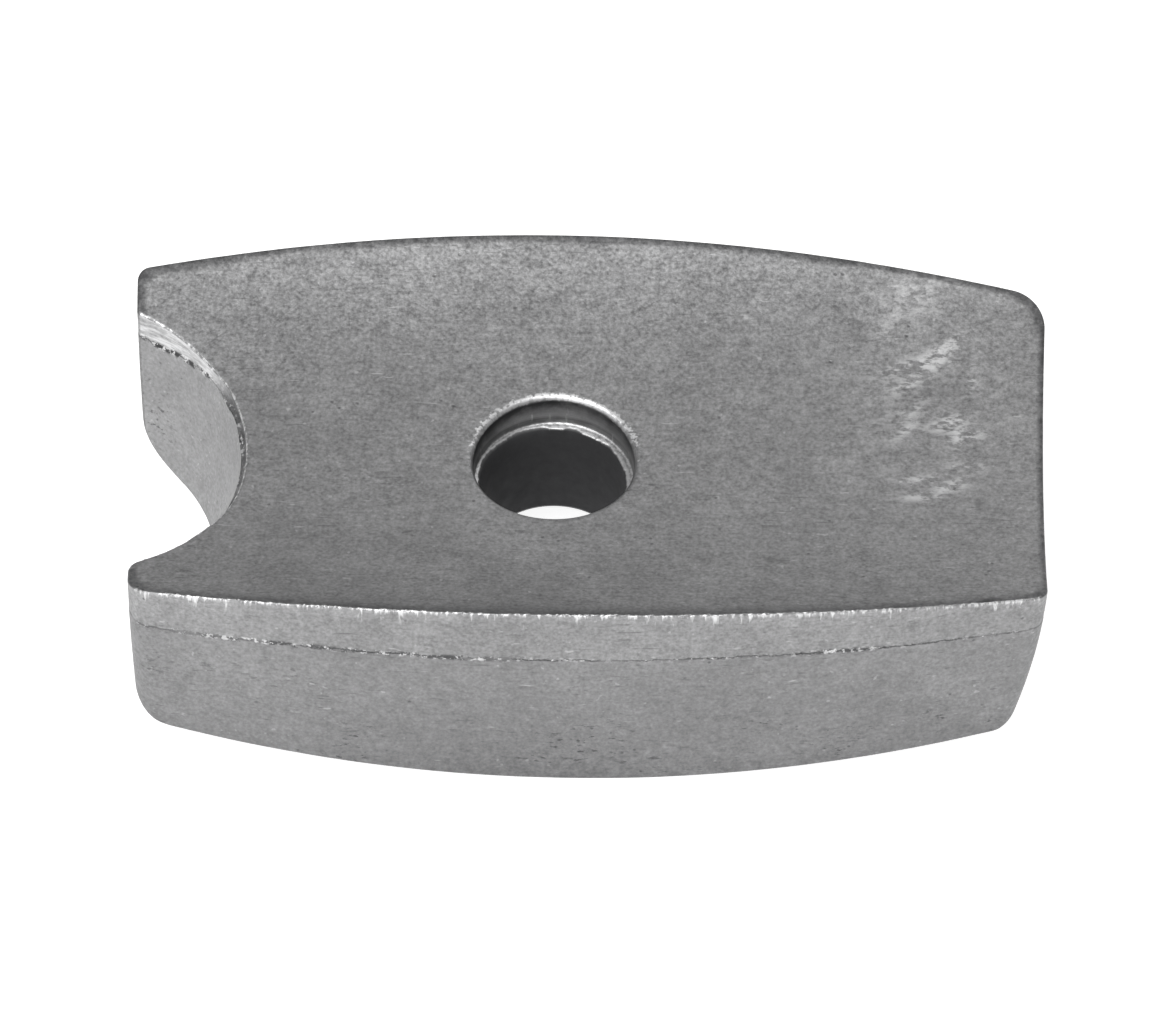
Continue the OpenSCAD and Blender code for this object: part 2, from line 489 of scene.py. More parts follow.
class Forging:
    """Every point of the plate's skin: walls, underside, countersink, bore, seat and saddle."""

    def __init__(self, s):
        self.s = s
        self.plate = plate = Plate(s)
        self.waves = Waves(s.seed)
        self.skin = Skin(plate.n)
        self.front = softened(plate.burred_front(), 2)
        self.in_notch = plate.columns_of("notch", "tip_front").astype(float)
        self.sheared = np.maximum(self.front, softened(plate.columns_of("notch"), 3))
        top_r = s.top_edge_r + (s.front_edge_r - s.top_edge_r) * self.sheared
        self.top_r = np.where(plate.columns_of("tip_back"), np.minimum(top_r, 0.5 * s.back_tip_r), top_r)
        low_r = np.where(plate.columns_of("front", "back"), s.bottom_edge_r, s.heel_edge_r)
        self.low_r = softened(low_r, 6)
        self.top_z, self.low_z = plate.top_edge(), plate.bottom_edge()
        rim_line = xyz_of(plate.outline(self.top_z)[0], 0)
        self.patchy = np.clip(0.9 + 0.35 * self.wave(rim_line, 5), 0.7, 1.0)
        self.flare = math.tan(s.countersink_angle)
        self.seat_r = BORE_R + s.seat_step
        self.raise_walls()
        self.close_underside()
        self.line_hole()
        self.lay_saddle()

    def wave(self, p, size_mm, octaves=3):
        return self.waves.layered(p, size_mm * MM, octaves)

    def seam_height(self, p):
        """Height over the parting line in mm."""
        stray = (STRAY + NOTCH_STRAY * self.in_notch) * MM * self.wave(p * [1, 1, 0], 2.6, 4)
        return (p[:, 2] - PARTING_Z - stray) / MM

    def wall_offset(self, points, z):
        """How far the forged wall stands inside the clean wall, with the flash along the parting line."""
        p = xyz_of(points, z)
        height = self.seam_height(p)
        ragged = 0.5 + 0.9 * self.wave(p * [1, 1, 0.6], 0.9)
        broken = np.clip(0.55 + 1.2 * self.wave(p * [1, 1, 0], 12, 2), 0.15, 1.0)
        ridge = bell(height, 0.13) * np.clip(ragged, 0.0, 1.4) * broken
        step = 0.5 + 0.5 * np.tanh(height / 0.07)
        trim = self.plate.trimmed(points) * (ramp(height, 0, 0.4) - 0.5 * bell(height, 0.45))
        slow = self.wave(p, 9)
        fine = self.wave(p * [1, 1, 2], 1.6)
        return self.s.flash_h * (0.7 * step - ridge) + trim + self.s.swell * 0.5 * slow + FINE_DENT * fine

    def edge_of_wall(self, z):
        """Where the forged wall stands at height z, and its outward directions."""
        points, out = self.plate.outline(z)
        return points - out * self.wall_offset(points, z)[:, None], out

    def dented(self, p):
        """How far the saddle's skin lies below the clean saddle."""
        slow = self.s.swell * 0.8 * (0.5 + 0.5 * self.wave(p, 8))
        return slow + FINE_DENT * (1 + self.wave(p, 1.2)) + SCUFF_DENT * patches_at(p, SCUFFS)

    def wall_row(self, z):
        """One row of a wall, with painted shade at its foot and where the notch faces away from the lamps, a
        darkening below the parting line, its trimmed edge with a painted highlight, and its bare places with
        painted light and its torn places.
        """
        points = self.plate.outline(z)[0]
        x, y = points.T / MM
        seam = self.seam_height(xyz_of(points, z))
        torn = sum(bell(x - mid, half) for mid, half in TORN_SPOTS)
        depth = ramp(seam, 0, -10)
        # darker below the parting line, more so lower down and towards the middle
        darker_low = ramp(x, -28, -10) * (0.1 + 0.14 * depth) + 0.07
        darker_low = darker_low * (1 - 0.35 * ramp(x, 22, 34)) + 0.16 * depth**2 * bell(x - 2, 16)
        # bare sheared steel in the notch, with painted light where the notch's wall faces the lamps
        bare = self.in_notch * ramp(y, 8.6, 10.2)
        # painted shade where the notch's wall faces away from the lamps
        painted_notch_shade = self.in_notch * ramp(y, 8.5, 6.5) * ramp(seam, -1 / 3, 0)
        # the trimmed top edge: sheared steel with a painted highlight
        trimmed = 0.8 * self.patchy * (self.front + 0.4 * self.in_notch)
        # painted shade along the wall's foot
        foot = bell(z - self.low_z, 1.6 * MM) + 0.6 * bell(z - self.low_z, 6 * MM)
        self.skin.add(
            xyz_of(self.edge_of_wall(z)[0], z),
            wall=1.0,
            seam=seam,
            edge=trimmed * np.exp(-(self.top_z - z) / (0.65 * MM)),
            rough=np.clip(torn, 0, 1) * self.front + (0.5 + 0.7 * bare) * self.in_notch,
            shine=bare,
            smooth=self.in_notch,
            shade=(0.26 * foot + darker_low * (seam < 0)) * (1 - self.in_notch) + 1.3 * painted_notch_shade,
        )

    def raise_walls(self):
        """The walls, from the top edge down to the bottom edge."""
        first, last = self.top_z - self.top_r, self.low_z + self.low_r
        upper = np.minimum(PARTING_Z + SEAM_BAND, first - 0.1 * SEAM_BAND)
        lower = PARTING_Z - SEAM_BAND
        for t in (0, 0.03, 0.07, 0.13, 0.22, 0.35, 0.52, 0.7, 0.86):
            self.wall_row(first + (upper - first) * t)
        for t in np.linspace(0, 1, 10, endpoint=False):
            self.wall_row(upper + (lower - upper) * t)
        for t in np.linspace(0, 1, 16) ** 1.1:
            self.wall_row(lower + (last - lower) * t)

    def close_underside(self):
        """The bottom edge's round, then the underside in to the countersink."""
        plate = self.plate
        base, out = self.edge_of_wall(self.low_z)
        # the bottom edge's round carries painted shade
        for angle in np.radians([22.5, 45, 67.5]):
            points = base - out * (self.low_r * (1 - math.cos(angle)))[:, None]
            z = plate.under_z(points[:, 0], points[:, 1]) + self.low_r * (1 - math.sin(angle))
            self.skin.add(xyz_of(points, z), seam=-FAR, shade=0.5)
        inner = base - out * self.low_r[:, None]
        bearing = np.unwrap(np.arctan2(inner[:, 1], inner[:, 0]))
        even = bearing[0] + math.tau * np.arange(plate.n) / plate.n
        bearing = even + softened(bearing - even, 10) * 0.9
        self.ray = np.stack([np.cos(bearing), np.sin(bearing)], 1)
        mouth = self.ray * (BORE_R + SINK_Z * self.flare)
        for _ in range(6):
            self.mouth_z = plate.under_z(mouth[:, 0], mouth[:, 1])
            mouth = self.ray * (BORE_R + (SINK_Z - self.mouth_z) * self.flare)[:, None]
        # the underside carries painted shade
        for t in np.concatenate([np.linspace(0, 0.24, 8, endpoint=False), np.linspace(0.24, 1, 14)]):
            points = inner + (mouth - inner) * t
            p = xyz_of(points, plate.under_z(points[:, 0], points[:, 1]))
            self.skin.add(p + [0, 0, 1] * self.dented(p)[:, None], seam=-FAR, shade=0.3, edge=0.3 * (t == 1))

    def ring(self, radius, z, bored=True, **marks):
        """One row round the hole."""
        self.skin.add(xyz_of(self.ray * np.reshape(radius, (-1, 1)), z), bored, **marks)

    def line_hole(self):
        """The countersink, the bore, its torn lip, the seat and the seat's rounded rim."""
        ray, seat_r = self.ray, self.seat_r
        for t in (0.3, 0.7, 1.0):
            z = self.mouth_z + (SINK_Z - self.mouth_z) * t
            self.ring(BORE_R + (SINK_Z - z) * self.flare, z)
        # the bore: the deep mark paints it dark as shade
        for t in (0.02, 0.35, 0.7, 1.0):
            self.ring(BORE_R, SINK_Z + (SEAT_Z - LIP_DEPTH - SINK_Z) * t, deep=1.0)
        tear = np.clip(0.35 + 1.3 * self.wave(xyz_of(ray * BORE_R, 0), 1.5, 4), 0, 1)
        torn_r = BORE_R + LIP_TEAR * tear - LIP_OFFSET * ray[:, 0]
        self.ring((BORE_R + torn_r) / 2, SEAT_Z - LIP_DEPTH / 2, deep=1.0)
        self.ring(torn_r, SEAT_Z - LIP_R, deep=0.6, edge=0.4)
        self.ring(torn_r + LIP_R, SEAT_Z, edge=0.9)
        self.ring((torn_r + LIP_R + seat_r) / 2, SEAT_Z, edge=0.6)
        self.ring(seat_r - 0.1 * MM, SEAT_Z + 0.2 * FILLET_H, edge=0.7)
        foot_z = SEAT_Z + FILLET_H
        self.ring(seat_r, foot_z, edge=0.2)
        rim_z = self.plate.saddle_z(seat_r * ray[:, 1])
        # painted shadow down the counterbore's wall, darkest on the left
        for t, shadow_and_mottle in ((0.35, 0.1), (0.65, 1.2), (1.0, 1.9)):
            z = foot_z + (rim_z - RIM_R - foot_z) * t
            self.ring(seat_r, z, edge=0.35 * (1 - t), shade=shadow_and_mottle * (0.7 - 0.3 * ray[:, 0]))
        # painted highlight on the rim's far half
        self.lit_rim = np.clip(0.3 + 0.9 * ray[:, 1], 0, 0.85)
        for degrees in (30, 60, 90):
            angle = math.radians(degrees)
            r = seat_r + RIM_R * (1 - math.cos(angle))
            z = self.plate.saddle_z(r * ray[:, 1]) - RIM_R * (1 - math.sin(angle))
            self.ring(r, z, bored=degrees < 90, edge=0.9 * self.lit_rim)

    def lay_saddle(self):
        """The saddle, out from the seat's rim to the top edge, and the top edge's round."""
        plate = self.plate
        mouth = self.ray * (self.seat_r + RIM_R)
        base, out = self.edge_of_wall(self.top_z - self.top_r)
        outer = base - out * self.top_r[:, None]
        band = (1 - self.sheared) * (1 - 0.7 * self.in_notch)
        band_wide = 0.6 + 0.3 * self.wave(xyz_of(outer, 0), 9, 2)
        band_wide = band_wide + 0.35 * ramp(outer[:, 0] / MM, -24, -32)
        ends = plate.columns_of("plain_end", "plain_end_front", "horn_back", "horn_front")
        band_wide = softened(np.where(ends, 0.32, band_wide), 6)
        for t in np.concatenate([np.linspace(0, 0.9, 52)[1:], np.linspace(0.9, 1, 9)[1:]]):
            points = mouth + (outer - mouth) * t
            p = xyz_of(points, plate.saddle_z(points[:, 1]))
            gap = np.linalg.norm(outer - points, axis=1) / MM
            # painted shade: a dark band where the top edge's round faces away from the lamps, and behind the
            # front burr
            painted_edge_shade = 1.3 * band * np.exp(-((gap / band_wide) ** 6)) + 1.1 * self.front * bell(gap, 1.3)
            # next to the hole, a painted highlight on the rim's far half
            self.skin.add(
                p - [0, 0, 1] * (self.dented(p) * ramp(t, 0, 0.06))[:, None],
                edge=0.35 * bell(t, 1 / 60) * self.lit_rim,
                scuff=np.clip(patches_at(p, SCUFFS), 0, 1),
                shade=painted_edge_shade + patches_at(p, SMUDGES),
            )
        rim_drop = self.dented(xyz_of(outer, plate.saddle_z(outer[:, 1])))
        # the top edge's round: painted highlight along the front and the notch, painted shade elsewhere
        lit = (0.62 * self.front + 0.75 * self.in_notch) * self.patchy
        for angle in np.radians([60, 30]):
            points = base - out * (self.top_r * (1 - math.cos(angle)))[:, None]
            z = plate.saddle_z(points[:, 1]) - self.top_r * (1 - math.sin(angle)) - rim_drop
            self.skin.add(xyz_of(points, z), wall=0.3, shade=1.2 * band, edge=lit)


def new_object(name, data):
    made = bpy.data.objects.new(name, data)
    bpy.context.scene.collection.objects.link(made)
    return made


def mesh_object(name, vertices, faces):
    mesh = bpy.data.meshes.new(name)
    mesh.from_pydata([tuple(v) for v in vertices], [], faces)
    mesh.update()
    return new_object(name, mesh)


def settle(piece, *replaced):
    """Rides a finished piece on the plate's body, shaded smooth, and hides the CAD parts that it replaces.
    """
    for polygon in piece.data.polygons:
        polygon.use_smooth = True
    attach(piece, BODY)
    if replaced:
        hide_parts(*replaced)


class CLIP_OT_forge_plate(bpy.types.Operator):
    """Forge the plate's skin around its CAD solid"""

    bl_idname = "clip.forge_plate"
    bl_label = "Forge plate"

    def execute(self, context):
        skin = Forging(context.scene.clip_sizes).skin
        n, rows = skin.columns, len(skin.rows)
        vertices = np.concatenate(skin.rows)
        here, over = np.meshgrid(np.arange(n), np.arange(rows))
        right, down = (here + 1) % n, (over + 1) % rows
        quads = np.stack([over * n + here, down * n + here, down * n + right, over * n + right], -1)
        plate = mesh_object("forged_plate", vertices, quads.reshape(-1, 4).tolist())
        for name, values in skin.marks.items():
            mark = plate.data.attributes.new(name, "FLOAT", "POINT")
            mark.data.foreach_set("value", np.concatenate(values))
        plate.data.materials.append(forged_skin(context))
        plate.data.materials.append(bored_steel(context))
        bored = np.array(skin.bored) & np.roll(skin.bored, -1)
        plate.data.polygons.foreach_set("material_index", np.repeat(bored.astype(int), n))
        settle(plate, NODE)
        return {"FINISHED"}


# ---------------- materials


class Tree:
    """Short hand for building a node tree."""

    def __init__(self, tree):
        self.tree = tree

    def fill(self, socket, value):
        if isinstance(value, bpy.types.NodeSocket):
            self.tree.links.new(value, socket)
        else:
            socket.default_value = value

    def add(self, kind, inputs=None, **settings):
        node = self.tree.nodes.new(kind)
        for key, value in settings.items():
            setattr(node, key, value)
        for key, value in (inputs or {}).items():
            self.fill(node.inputs[key], value)
        return node

    def math(self, operation, a, b=0.0, c=0.0, clamp=False):
        node = self.add("ShaderNodeMath", {0: a, 1: b, 2: c}, operation=operation, use_clamp=clamp)
        return node.outputs[0]

    def times(self, first, *others):
        for other in others:
            first = self.math("MULTIPLY", first, other)
        return first

    def vector(self, operation, inputs, output=0):
        return self.add("ShaderNodeVectorMath", inputs, operation=operation).outputs[output]

    def span(self, value, low, high, to_low=0.0, to_high=1.0, kind="LINEAR"):
        limits = {"Value": value, "From Min": low, "From Max": high, "To Min": to_low, "To Max": to_high}
        return self.add("ShaderNodeMapRange", limits, interpolation_type=kind).outputs[0]

    def step(self, value, low, high):
        return self.span(value, low, high, kind="SMOOTHSTEP")

    def blend(self, amount, a, b, mode="MIX"):
        node = self.add("ShaderNodeMix", {0: amount, 6: a, 7: b}, data_type="RGBA", blend_type=mode)
        return node.outputs[2]

    def coat(self, colour, amount, strength, paint):
        """The colour under a coat of paint, where amount says how much of it lies there."""
        return self.blend(self.times(amount, strength), colour, paint)

    def shaded(self, colour, tone):
        grey = self.add("ShaderNodeCombineColor", {0: tone, 1: tone, 2: tone}).outputs[0]
        return self.blend(1.0, colour, grey, "MULTIPLY")

    def noise(self, place, scale, detail=4.0, roughness=0.6):
        settings = {"Vector": place, "Scale": scale, "Detail": detail, "Roughness": roughness}
        return self.add("ShaderNodeTexNoise", settings).outputs[0]

    def strokes(self, place, scales, detail=4.0, roughness=0.6, turn=(0.0, 0.0, 0.0)):
        """Noise with its own scale along each axis."""
        settings = {"Vector": place, "Scale": scales, "Rotation": turn}
        return self.noise(self.add("ShaderNodeMapping", settings).outputs[0], 1.0, detail, roughness)

    def marks(self, *names):
        """The mesh's marks, one socket each."""
        return [self.add("ShaderNodeAttribute", attribute_name=name).outputs["Fac"] for name in names]

    def group(self, tree, **inputs):
        return self.add("ShaderNodeGroup", inputs, node_tree=tree).outputs

    def coat_metal(self, shader, colour, roughness, height, strength, depth):
        bump = self.add("ShaderNodeBump", {"Strength": strength, "Distance": depth, "Height": height})
        for key, socket in (("Base Color", colour), ("Roughness", roughness), ("Normal", bump.outputs[0])):
            self.tree.links.new(socket, shader.inputs[key])


def group_of(name, inputs, outputs, build):
    """A shader node group, built once."""
    if name in bpy.data.node_groups:
        return bpy.data.node_groups[name]
    group = bpy.data.node_groups.new(name, "ShaderNodeTree")
    group.interface.new_socket(name="Place", in_out="INPUT", socket_type="NodeSocketVector")
    for key, default in inputs:
        socket = group.interface.new_socket(name=key, in_out="INPUT", socket_type="NodeSocketFloat")
        socket.default_value = default
    for key in outputs:
        group.interface.new_socket(name=key, in_out="OUTPUT", socket_type="NodeSocketFloat")
    t = Tree(group)
    start = t.add("NodeGroupInput")
    end = t.add("NodeGroupOutput")
    for key, socket in build(t, start.outputs).items():
        group.links.new(socket, end.inputs[key])
    return group


def grain_group():
    """Fine grain, mottling, blotches and pits of a blasted forging, with the height they give."""

    def build(t, given):
        place = given["Place"]
        fine = t.noise(place, 3000.0, 2.0)
        coarse = t.noise(place, 900.0, 4.0, 0.65)
        cells = t.add("ShaderNodeTexVoronoi", {"Vector": place, "Scale": 900.0, "Randomness": 1.0})
        pit = t.step(cells.outputs["Distance"], 0.2, 0.06)
        pit = t.times(pit, t.step(t.noise(place, 230.0, 3.0), 0.55, 0.64))
        grain = t.math("MULTIPLY_ADD", fine, 0.6, t.times(coarse, 0.4))
        grain = t.times(t.math("SUBTRACT", grain, 0.5), given["Strength"])
        height = t.math("SUBTRACT", grain, t.times(pit, 0.8))
        return {"Grain": grain, "Blotch": t.noise(place, 110.0), "Pits": pit, "Height": height}

    return group_of("Forging grain", [("Strength", 1.0)], ("Grain", "Blotch", "Pits", "Height"), build)


def wear_and_highlight_group():
    """Rubbed edges and painted highlights, from the mesh's edge mark, that break up into short strokes
    across the edge.
    """

    def build(t, given):
        strokes = t.strokes(given["Place"], (2600, 2600, 420), 3.0)
        reach = t.math("ADD", given["Edge"], t.span(strokes, 0.3, 0.7, -0.45, 0.45))
        return {"Wear": t.step(reach, 0.42, 0.8), "Strokes": strokes}

    return group_of("Edge wear", [("Edge", 0.0)], ("Wear", "Strokes"), build)


def new_material(name, metallic):
    material = bpy.data.materials.new(name)
    material.use_nodes = True
    t = Tree(material.node_tree)
    shader = material.node_tree.nodes["Principled BSDF"]
    shader.inputs["Metallic"].default_value = metallic
    place = t.add("ShaderNodeTexCoord").outputs["Object"]
    return material, t, shader, place


def rgba(colour, scale=1.0):
    return (*(c * scale for c in colour), 1.0)


def forged_skin(context):
    """Dull blasted skin with its parting line, trimmed edges, rubbed patches and grimy marks, with painted
    shade and painted highlights.
    """
    colours = context.scene.clip_colours
    bright, grime_and_shade = rgba(colours.bright), rgba(colours.grime_and_shade)
    material, t, shader, place = new_material("forged_skin", 0.8)
    wall, seam, edge, shade, shine, rough, smooth, scuff = t.marks(
        "wall", "seam", "edge", "shade", "shine", "rough", "smooth", "scuff"
    )
    axes = t.add("ShaderNodeSeparateXYZ", {0: place}).outputs
    above = t.times(wall, t.span(seam, -0.08, 0.08))

    # the saddle's back half is coarser than its front half and the walls
    swing = t.noise(place, 60.0, 2.0, 0.5)
    back = t.math("MULTIPLY_ADD", t.math("SUBTRACT", swing, 0.5), 0.02, axes[1])
    coarse = t.times(
        t.span(back, -0.006, 0.016, 0.9, 1.32),
        t.span(wall, 0.0, 1.0, 1.0, 0.72),
        t.span(smooth, 0.0, 1.0, 1.0, 0.6),
    )
    coarse = t.math("MULTIPLY_ADD", above, 0.12, coarse)
    coarse = t.math("MULTIPLY_ADD", scuff, -0.35, coarse)
    grain = t.group(grain_group(), Place=place, Strength=coarse)
    wear = t.group(wear_and_highlight_group(), Place=place, Edge=edge)

    # faint drawn lines along the plate, dark scratches and dashes, and light scratches and specks
    drawn = t.strokes(place, (300, 2600, 2600))
    dark_lines = t.span(t.strokes(place, (330, 3600, 3600), 2.0, 0.5, (0, 0, 0.04)), 0.66, 0.74)
    light_lines = t.span(t.strokes(place, (420, 3800, 1600), 2.0, 0.5, (0, 0, 0.5)), 0.7, 0.78)
    dashes = t.span(t.strokes(place, (900, 2300, 2700), 3.0, 0.65), 0.58, 0.66)
    clusters = t.step(t.noise(place, 130.0, 3.0), 0.5, 0.62)
    lower = t.times(wall, t.span(seam, 0.0, -11.0, -0.5, 1.2))
    dashes = t.times(dashes, clusters, t.math("ADD", lower, 1.0))
    dark_lines = t.math("MAXIMUM", dark_lines, dashes)
    specks = t.span(t.noise(place, 1900.0, 0.0, 0.5), 0.8, 0.86)
    light_lines = t.math("MAXIMUM", light_lines, t.times(specks, 0.7))

    # the skin's tone, with painted light above the parting line and a painted highlight along the trimmed
    # edge
    tone = t.times(
        t.math("MULTIPLY_ADD", grain["Grain"], 2.1, 1.0),
        t.span(grain["Blotch"], 0.3, 0.7, 0.9, 1.1),
        t.span(drawn, 0.3, 0.7, 0.95, 1.05),
        t.span(smooth, 0.0, 1.0, 1.0, 1.2),
    )
    lit = t.times(
        above,
        t.span(wear["Strokes"], 0.3, 0.7, 0.06, 0.2),
        t.span(axes[0], -0.032, -0.008, 1.0, 0.4),
        t.span(smooth, 0.0, 1.0, 1.0, 0.0),
    )
    lit = t.math("MULTIPLY_ADD", t.times(edge, wall), 0.4, lit)
    tone = t.times(tone, t.math("ADD", lit, 1.0))
    colour = t.shaded(rgba(colours.skin), tone)
    colour = t.coat(colour, dark_lines, 0.4, grime_and_shade)
    colour = t.coat(colour, light_lines, 0.35, bright)
    colour = t.coat(colour, grain["Pits"], 0.6, grime_and_shade)

    # the bare sheared face of the notch, with painted light; the rubbed patches; and painted shade, with
    # grimy patches and a darkening low on the walls
    torn = t.noise(place, 1300.0, 4.0, 0.7)
    streaks = t.strokes(place, (330, 330, 1900), 4.0, 0.7)
    bare = t.times(above, shine, t.span(streaks, 0.42, 0.58, 0.1, 1.0))
    colour = t.coat(colour, bare, 0.8, bright)
    smear = t.strokes(place, (800, 1700, 800), 4.0, 0.65, (0, 0, -0.6))
    colour = t.coat(colour, t.times(scuff, t.step(smear, 0.42, 0.6)), 0.7, bright)
    colour = t.coat(colour, t.times(shade, t.span(torn, 0.3, 0.6, 1.0, 0.55)), 0.75, grime_and_shade)

    # the parting line: a thin dark line of painted shadow under the flash, torn flakes over it and dark pits
    # about it
    level = t.math("MULTIPLY_ADD", t.math("SUBTRACT", torn, 0.5), 0.7, seam)
    line = t.step(t.math("ABSOLUTE", level), 0.13, 0.03)
    line = t.times(line, t.span(t.noise(place, 150.0, 3.0), 0.35, 0.6, 0.3, 1.0))
    near = t.step(t.math("ABSOLUTE", seam), 0.45, 0.12)
    pits = t.times(near, t.step(t.noise(place, 1150.0, 3.0, 0.7), 0.5, 0.45), rough)
    crease = t.times(wall, t.math("MAXIMUM", line, t.times(pits, 0.9)))
    colour = t.coat(colour, crease, 0.9, rgba(colours.grime_and_shade, 0.8))
    flake = t.times(near, t.step(t.noise(place, 1250.0, 3.0, 0.75), 0.55, 0.6), wall)
    flake = t.times(flake, t.span(rough, 0.0, 1.0, 0.2, 0.85))
    colour = t.blend(flake, colour, bright)
    # rubbed edges, and painted highlights along the lit front and notch edges and the rim's far half
    colour = t.coat(colour, wear["Wear"], 0.85, bright)

    dull = t.span(grain["Grain"], -0.25, 0.25, 0.62, 0.5)
    dull = t.math("SUBTRACT", dull, t.times(wear["Wear"], 0.15), clamp=True)
    height = t.math("MULTIPLY_ADD", drawn, 0.15, grain["Height"])
    height = t.math("SUBTRACT", height, t.times(crease, 1.2))
    height = t.math("ADD", height, t.times(flake, 0.8))
    t.coat_metal(shader, colour, dull, height, 0.8, 0.06 * MM)
    return material


def bored_steel(context):
    """Drilled and faced steel, bright on the seat's rings, with a painted highlight on the rim's far half,
    painted shadow in the counterbore's wall and painted shade down the bore.
    """
    colours = context.scene.clip_colours
    material, t, shader, place = new_material("bored_steel", 0.85)
    edge, deep, shade = t.marks("edge", "deep", "shade")
    wear = t.group(wear_and_highlight_group(), Place=place, Edge=edge)["Wear"]
    away = t.vector("LENGTH", {0: t.vector("MULTIPLY", {0: place, 1: (1, 1, 0)})}, "Value")
    up = t.add("ShaderNodeSeparateXYZ", {0: place}).outputs[2]
    turned = t.add("ShaderNodeCombineXYZ", {0: away, 2: up}).outputs[0]
    rings = t.strokes(turned, (6200, 1, 5200), 3.0)
    # mottles the tone and roughness and breaks up the painted shadow
    shadow_and_mottle = t.noise(place, 800.0, 4.0, 0.65)
    tone = t.times(t.span(rings, 0.3, 0.7, 0.7, 1.3), t.span(shadow_and_mottle, 0.3, 0.7, 0.75, 1.2))
    colour = t.shaded(rgba(colours.skin), tone)
    # painted shadow in the counterbore's wall, broken up by the mottling
    painted_shadow = t.times(shade, t.span(shadow_and_mottle, 0.35, 0.65, 1.0, 0.6))
    colour = t.coat(colour, painted_shadow, 0.9, rgba(colours.grime_and_shade))
    # bright seat rings, and a painted highlight on the rim's far half
    colour = t.coat(colour, edge, 0.5, rgba(colours.bright, 0.8))
    colour = t.coat(colour, wear, 0.5, rgba(colours.bright))
    # painted shade down the bore
    colour = t.blend(deep, colour, rgba(colours.grime_and_shade, 1.4))
    dull = t.math("MULTIPLY_ADD", deep, 0.4, t.span(shadow_and_mottle, 0.3, 0.7, 0.36, 0.5), clamp=True)
    t.coat_metal(shader, colour, dull, rings, 0.5, 0.03 * MM)
    return material


def sheared_burr(context):
    """Bright ragged steel of the burrs."""
    colours = context.scene.clip_colours
    material, t, shader, place = new_material("sheared_burr", 0.85)
    wear = t.group(wear_and_highlight_group(), Place=place, Edge=0.5)
    colour = t.blend(wear["Wear"], rgba(colours.skin), rgba(colours.bright, 0.9))
    dull = t.span(wear["Strokes"], 0.3, 0.7, 0.5, 0.32)
    t.coat_metal(shader, colour, dull, wear["Strokes"], 0.6, 0.03 * MM)
    return material


# ---------------- burrs that follow an edge


def burr_tree(name):
    """A geometry node tree that turns a line of points into a ragged closed burr."""
    tree = bpy.data.node_groups.new(name, "GeometryNodeTree")
    face = tree.interface
    face.new_socket(name="Geometry", in_out="INPUT", socket_type="NodeSocketGeometry")
    for key in ("Spacing", "Thickness", "Tooth Size", "Raggedness", "Breaks", "Seed"):
        face.new_socket(name=key, in_out="INPUT", socket_type="NodeSocketFloat")
    face.new_socket(name="Material", in_out="INPUT", socket_type="NodeSocketMaterial")
    face.new_socket(name="Geometry", in_out="OUTPUT", socket_type="NodeSocketGeometry")
    t = Tree(tree)
    given = t.add("NodeGroupInput").outputs
    place = t.add("GeometryNodeInputPosition").outputs[0]
    tooth = t.math("DIVIDE", 1.0, given["Tooth Size"])

    def noise(scale, detail):
        settings = {"Vector": place, "W": given["Seed"], "Scale": scale, "Detail": detail, "Roughness": 0.6}
        return t.add("ShaderNodeTexNoise", settings, noise_dimensions="4D").outputs

    teeth = t.span(noise(tooth, 2.0)[0], 0.36, 0.64, 0.35, 1.5)
    whole = t.math("ADD", given["Breaks"], 0.08)
    broken = t.span(noise(t.times(tooth, 0.12), 2.0)[0], given["Breaks"], whole, 0.12, 1.0)
    radius = t.times(given["Thickness"], t.times(teeth, broken))
    curve = t.add("GeometryNodeMeshToCurve", {"Mesh": given["Geometry"]}).outputs[0]
    pace = {"Curve": curve, "Length": given["Spacing"]}
    curve = t.add("GeometryNodeResampleCurve", pace, mode="LENGTH").outputs[0]
    section = t.add("GeometryNodeCurvePrimitiveCircle", {"Resolution": 7, "Radius": 1.0}, mode="RADIUS")
    sides = {"Curve": curve, "Profile Curve": section.outputs[0], "Scale": radius, "Fill Caps": True}
    sweep = t.add("GeometryNodeCurveToMesh", sides)
    shake = t.vector("SUBTRACT", {0: noise(t.times(tooth, 2.2), 1.0)[1], 1: (0.5, 0.5, 0.5)})
    shake = t.vector("SCALE", {0: shake, "Scale": given["Raggedness"]})
    moved = t.add("GeometryNodeSetPosition", {"Geometry": sweep.outputs[0], "Offset": shake}).outputs[0]
    real = t.add("GeometryNodeRealizeInstances", {0: moved}).outputs[0]
    done = t.add("GeometryNodeSetMaterial", {0: real, "Material": given["Material"]}).outputs[0]
    t.add("NodeGroupOutput", {0: done})
    return tree


def raise_burr(context, name, points, values):
    """A burr along points, made by the burr tree and applied."""
    material = bpy.data.materials.get("sheared_burr") or sheared_burr(context)
    tree = bpy.data.node_groups.get("Ragged burr") or burr_tree("Ragged burr")
    line = mesh_object(name + "_line", points, [])
    line.data.edges.add(len(points) - 1)
    ends = np.column_stack([np.arange(len(points) - 1), np.arange(1, len(points))])
    line.data.edges.foreach_set("vertices", ends.ravel())
    modifier = line.modifiers.new("Burr", "NODES")
    modifier.node_group = tree
    keys = {item.name: item.identifier for item in tree.interface.items_tree if item.in_out == "INPUT"}
    for key, value in {**values, "Material": material}.items():
        modifier[keys[key]] = value
    bpy.context.view_layer.update()
    evaluated = line.evaluated_get(bpy.context.evaluated_depsgraph_get())
    mesh = bpy.data.meshes.new_from_object(evaluated)
    mesh.name = name
    bpy.data.objects.remove(line)
    if not mesh.materials:
        mesh.materials.append(material)
    settle(new_object(name, mesh))


def edge_line(plate, columns, z, inset, drop):
    """Points along the plate's outline at height z, a little inwards and down."""
    points, normals = plate.outline(z)
    inset = np.broadcast_to(inset, plate.n)[:, None]
    return xyz_of((points - normals * inset)[columns], (z - drop)[columns])


